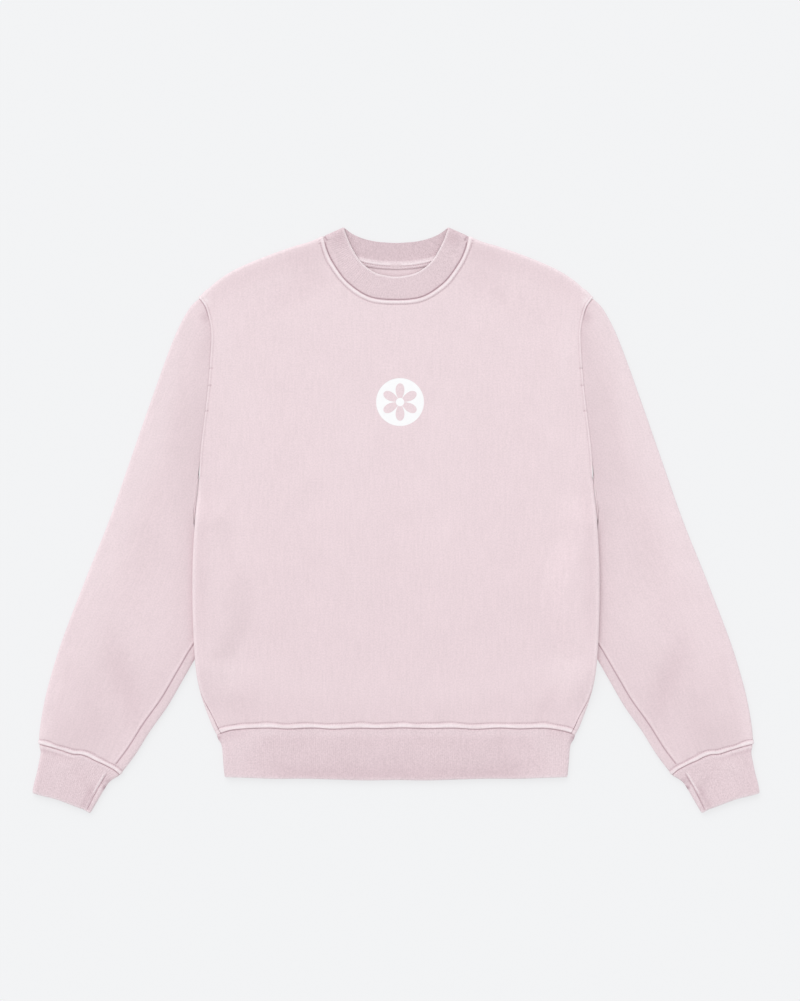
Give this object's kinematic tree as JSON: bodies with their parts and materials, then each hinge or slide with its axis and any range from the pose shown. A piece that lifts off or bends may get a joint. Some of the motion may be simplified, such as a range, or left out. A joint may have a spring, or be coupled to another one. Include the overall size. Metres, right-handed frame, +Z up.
{
  "type": "crewneck sweatshirt",
  "caption": "Crewneck sweatshirt in brushed fleece with set-in sleeves and ribbed neckband, cuffs and hem band, laid flat on its back.",
  "frame": {"origin": "on the surface it lies on, under the middle of the whole garment", "axes": "+X across the chest towards the wearer's left sleeve, +Y from the hem to the neck, +Z up from the surface, out of the front"},
  "size_m": [0.9394, 0.7566, 0.0169],
  "materials": {
    "fleece": "smooth jersey face of a brushed fleece, pale pink",
    "rib": "fine rib knit, pale pink",
    "tape": "woven herringbone tape, pale pink"
  },
  "bodies": {
    "root": {"front_panel": "fleece", "back_panel": "fleece", "sleeve_left": "fleece", "sleeve_right": "fleece", "cuff_left": "rib", "cuff_right": "rib", "waistband": "rib", "neckband": "rib", "neck_tape": "tape"}
  },
  "joints": []
}
